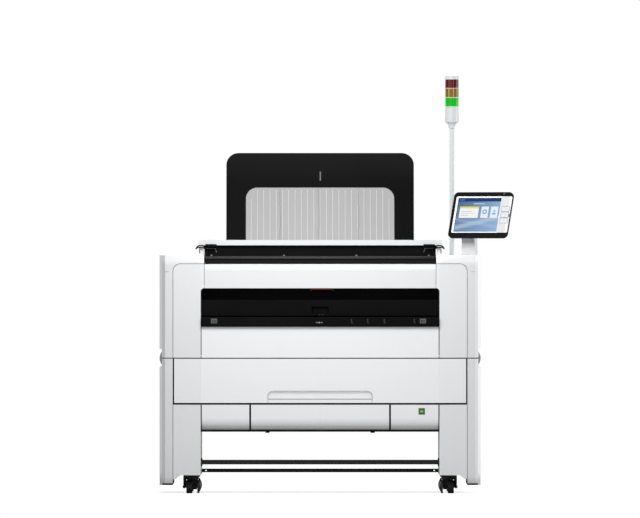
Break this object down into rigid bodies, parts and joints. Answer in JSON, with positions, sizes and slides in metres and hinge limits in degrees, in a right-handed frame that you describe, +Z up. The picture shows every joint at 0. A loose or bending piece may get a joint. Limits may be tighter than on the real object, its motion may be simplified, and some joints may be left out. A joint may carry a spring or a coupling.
{
  "type": "large format plotter",
  "caption": "Upright wide-format roll printer on castors with roll drawer, feed-through scanner, top delivery tray, swivelling touch panel and signal light.",
  "frame": {"origin": "on the floor, under the middle of the bounding box", "axes": "+X to the right as seen from the front, +Y from the front to the rear, +Z up"},
  "size_m": [1.5368, 0.804, 1.812],
  "materials": {
    "frame_black": "satin black powder coat",
    "frame_steel": "zinc-plated sheet steel",
    "cover_white": "fine-grained white moulding",
    "cover_bright": "smooth white moulding",
    "trim_grey": "light grey moulding",
    "castor_black": "black glass-filled nylon",
    "castor_tyre": "dark polyurethane tread",
    "scanner_black": "black moulding, soft sheen",
    "tray_black": "smooth black moulding",
    "ribs_grey": "ribbed grey moulding",
    "roller_grey": "grey rubber",
    "roller_white": "white acetal",
    "media_paper": "uncoated white paper on a board core",
    "drum_coat": "glossy photoconductor",
    "engine_dark": "dark grey moulding",
    "engine_metal": "zinc-plated sheet steel",
    "fuser_hot": "red-brown silicone rubber",
    "fuser_cold": "pale silicone rubber",
    "power_green": "lit green lens",
    "lens_red": "ribbed red lens",
    "lens_amber": "ribbed amber lens",
    "lens_green": "lit green lens",
    "bezel_black": "satin black bezel and case",
    "screen": "lit touch screen",
    "key_grey": "grey key cap"
  },
  "bodies": {
    "machine": {"base_frame": "frame_black", "stretchers": "frame_black", "leg_covers": "cover_white", "body_frame": "frame_steel", "side_plates": "frame_steel", "side_covers_upper": "cover_white", "side_covers_lower": "cover_white", "side_trims": "trim_grey", "tower_panels": "cover_white", "rear_cover": "trim_grey", "lower_covers": "cover_white", "feed_table": "scanner_black", "scanner_bed": "scanner_black", "exit_unit": "scanner_black", "deck": "cover_bright", "tray_back": "tray_black", "tray_ribs": "ribs_grey", "drawer_rails_fixed": "frame_steel", "imaging_unit": "engine_dark", "fuser_unit": "engine_metal", "controller_box": "engine_metal", "signal_pole": "cover_bright", "signal_head": "trim_grey", "signal_lens_red": "lens_red", "signal_lens_amber": "lens_amber", "signal_lens_green": "lens_green"},
    "fork_front_left": {"castor_fork_front_left": "castor_black"},
    "wheels_front_left": {"castor_wheels_front_left": "castor_tyre"},
    "fork_front_right": {"castor_fork_front_right": "castor_black"},
    "wheels_front_right": {"castor_wheels_front_right": "castor_tyre"},
    "fork_rear_left": {"castor_fork_rear_left": "castor_black"},
    "wheels_rear_left": {"castor_wheels_rear_left": "castor_tyre"},
    "fork_rear_right": {"castor_fork_rear_right": "castor_black"},
    "wheels_rear_right": {"castor_wheels_rear_right": "castor_tyre"},
    "brake_left": {"brake_lever_left": "castor_black"},
    "brake_right": {"brake_lever_right": "castor_black"},
    "door": {"lower_door": "cover_white"},
    "button": {"power_button": "power_green"},
    "flap": {"front_flap": "cover_white"},
    "top_cover": {"top_front_cover": "cover_bright"},
    "scanner_lid": {"scan_cover": "scanner_black"},
    "transport_roller": {"scan_roller": "roller_grey"},
    "exit_roller": {"delivery_roller": "roller_white"},
    "lever_left": {"tray_lever_left": "scanner_black"},
    "lever_right": {"tray_lever_right": "scanner_black"},
    "drawer": {"drawer_front": "cover_white", "drawer_box": "frame_steel"},
    "middle_rails": {"drawer_rails_middle": "frame_steel"},
    "roll_front": {"media_roll_front": "media_paper"},
    "roll_rear": {"media_roll_rear": "media_paper"},
    "drum": {"imaging_drum": "drum_coat"},
    "hot_roller": {"fuser_roller": "fuser_hot"},
    "press_roller": {"pressure_roller": "fuser_cold"},
    "neck": {"panel_neck": "cover_bright"},
    "panel": {"panel_case": "bezel_black", "panel_bezel": "bezel_black", "panel_screen": "screen"},
    "key_upper": {"panel_key_upper": "key_grey"},
    "key_middle": {"panel_key_middle": "key_grey"},
    "key_lower": {"panel_key_lower": "key_grey"}
  },
  "joints": [
    {"name": "castor_swivel_front_left", "type": "hinge", "parent": "machine", "child": "fork_front_left", "pos_m": [-0.62089, -0.284, 0.0695], "axis": [0, 0, 1], "continuous": true},
    {"name": "wheel_spin_front_left", "type": "hinge", "parent": "fork_front_left", "child": "wheels_front_left", "pos_m": [-0.62089, -0.262, 0.029], "axis": [1, 0, 0], "continuous": true},
    {"name": "castor_swivel_front_right", "type": "hinge", "parent": "machine", "child": "fork_front_right", "pos_m": [0.46511, -0.284, 0.0695], "axis": [0, 0, 1], "continuous": true},
    {"name": "wheel_spin_front_right", "type": "hinge", "parent": "fork_front_right", "child": "wheels_front_right", "pos_m": [0.46511, -0.262, 0.029], "axis": [1, 0, 0], "continuous": true},
    {"name": "castor_swivel_rear_left", "type": "hinge", "parent": "machine", "child": "fork_rear_left", "pos_m": [-0.62089, 0.286, 0.0695], "axis": [0, 0, 1], "continuous": true},
    {"name": "wheel_spin_rear_left", "type": "hinge", "parent": "fork_rear_left", "child": "wheels_rear_left", "pos_m": [-0.62089, 0.308, 0.029], "axis": [1, 0, 0], "continuous": true},
    {"name": "castor_swivel_rear_right", "type": "hinge", "parent": "machine", "child": "fork_rear_right", "pos_m": [0.46511, 0.286, 0.0695], "axis": [0, 0, 1], "continuous": true},
    {"name": "wheel_spin_rear_right", "type": "hinge", "parent": "fork_rear_right", "child": "wheels_rear_right", "pos_m": [0.46511, 0.308, 0.029], "axis": [1, 0, 0], "continuous": true},
    {"name": "brake_left", "type": "hinge", "parent": "fork_front_left", "child": "brake_left", "pos_m": [-0.62089, -0.292, 0.063], "axis": [1, 0, 0], "range_deg": [-5, 0]},
    {"name": "brake_right", "type": "hinge", "parent": "fork_front_right", "child": "brake_right", "pos_m": [0.46511, -0.292, 0.063], "axis": [1, 0, 0], "range_deg": [-5, 0]},
    {"name": "drawer_slide", "type": "slide", "parent": "machine", "child": "drawer", "axis": [0, -1, 0], "range_m": [0, 0.45]},
    {"name": "middle_rail_slide", "type": "slide", "parent": "machine", "child": "middle_rails", "axis": [0, -1, 0], "range_m": [0, 0.225]},
    {"name": "front_roll_spin", "type": "hinge", "parent": "drawer", "child": "roll_front", "pos_m": [-0.07789, -0.212, 0.486], "axis": [1, 0, 0], "continuous": true},
    {"name": "rear_roll_spin", "type": "hinge", "parent": "drawer", "child": "roll_rear", "pos_m": [-0.07789, -0.022, 0.486], "axis": [1, 0, 0], "continuous": true},
    {"name": "front_flap_hinge", "type": "hinge", "parent": "machine", "child": "flap", "pos_m": [-0.07789, -0.379, 0.598], "axis": [1, 0, 0], "range_deg": [0, 80]},
    {"name": "top_cover_hinge", "type": "hinge", "parent": "machine", "child": "top_cover", "pos_m": [-0.07789, -0.379, 0.899], "axis": [1, 0, 0], "range_deg": [0, 75]},
    {"name": "lower_door_hinge", "type": "hinge", "parent": "machine", "child": "door", "pos_m": [-0.07789, -0.338, 0.284], "axis": [1, 0, 0], "range_deg": [0, 65]},
    {"name": "power_press", "type": "slide", "parent": "machine", "child": "button", "axis": [0, 1, 0], "range_m": [0, 0.0015], "stiffness_N_per_m": 500},
    {"name": "scan_cover_hinge", "type": "hinge", "parent": "machine", "child": "scanner_lid", "pos_m": [-0.07789, -0.264, 0.832], "axis": [-1, 0, 0], "range_deg": [0, 20]},
    {"name": "transport_roller_spin", "type": "hinge", "parent": "machine", "child": "transport_roller", "pos_m": [-0.07789, -0.28, 0.7548], "axis": [1, 0, 0], "continuous": true},
    {"name": "delivery_roller_spin", "type": "hinge", "parent": "machine", "child": "exit_roller", "pos_m": [-0.07789, -0.318, 1.027], "axis": [1, 0, 0], "continuous": true},
    {"name": "tray_lever_turn_left", "type": "hinge", "parent": "machine", "child": "lever_left", "pos_m": [-0.07789, -0.316, 1.066], "axis": [1, 0, 0], "range_deg": [0, 45]},
    {"name": "tray_lever_turn_right", "type": "hinge", "parent": "machine", "child": "lever_right", "pos_m": [-0.07789, -0.316, 1.066], "axis": [1, 0, 0], "range_deg": [0, 45]},
    {"name": "drum_spin", "type": "hinge", "parent": "machine", "child": "drum", "pos_m": [-0.07789, -0.051, 0.8], "axis": [1, 0, 0], "continuous": true},
    {"name": "fuser_spin", "type": "hinge", "parent": "machine", "child": "hot_roller", "pos_m": [-0.07789, -0.184, 0.935], "axis": [1, 0, 0], "continuous": true},
    {"name": "pressure_spin", "type": "hinge", "parent": "machine", "child": "press_roller", "pos_m": [-0.07789, -0.2224, 0.935], "axis": [1, 0, 0], "continuous": true},
    {"name": "panel_swivel", "type": "hinge", "parent": "machine", "child": "neck", "pos_m": [0.57111, -0.214, 1.033], "axis": [0, 0, 1], "range_deg": [-10, 45]},
    {"name": "panel_tilt", "type": "hinge", "parent": "neck", "child": "panel", "pos_m": [0.57111, -0.214, 1.15], "axis": [0.891, -0.454, 0], "range_deg": [-12, 12]},
    {"name": "key_press_upper", "type": "slide", "parent": "panel", "child": "key_upper", "axis": [0.4266, 0.8373, -0.342], "range_m": [0, 0.0012], "stiffness_N_per_m": 400},
    {"name": "key_press_middle", "type": "slide", "parent": "panel", "child": "key_middle", "axis": [0.4266, 0.8373, -0.342], "range_m": [0, 0.0012], "stiffness_N_per_m": 400},
    {"name": "key_press_lower", "type": "slide", "parent": "panel", "child": "key_lower", "axis": [0.4266, 0.8373, -0.342], "range_m": [0, 0.0012], "stiffness_N_per_m": 400}
  ],
  "couplings": [
    {"joint": "middle_rail_slide", "follows": "drawer_slide", "ratio": 0.5},
    {"joint": "pressure_spin", "follows": "fuser_spin", "ratio": -1}
  ]
}
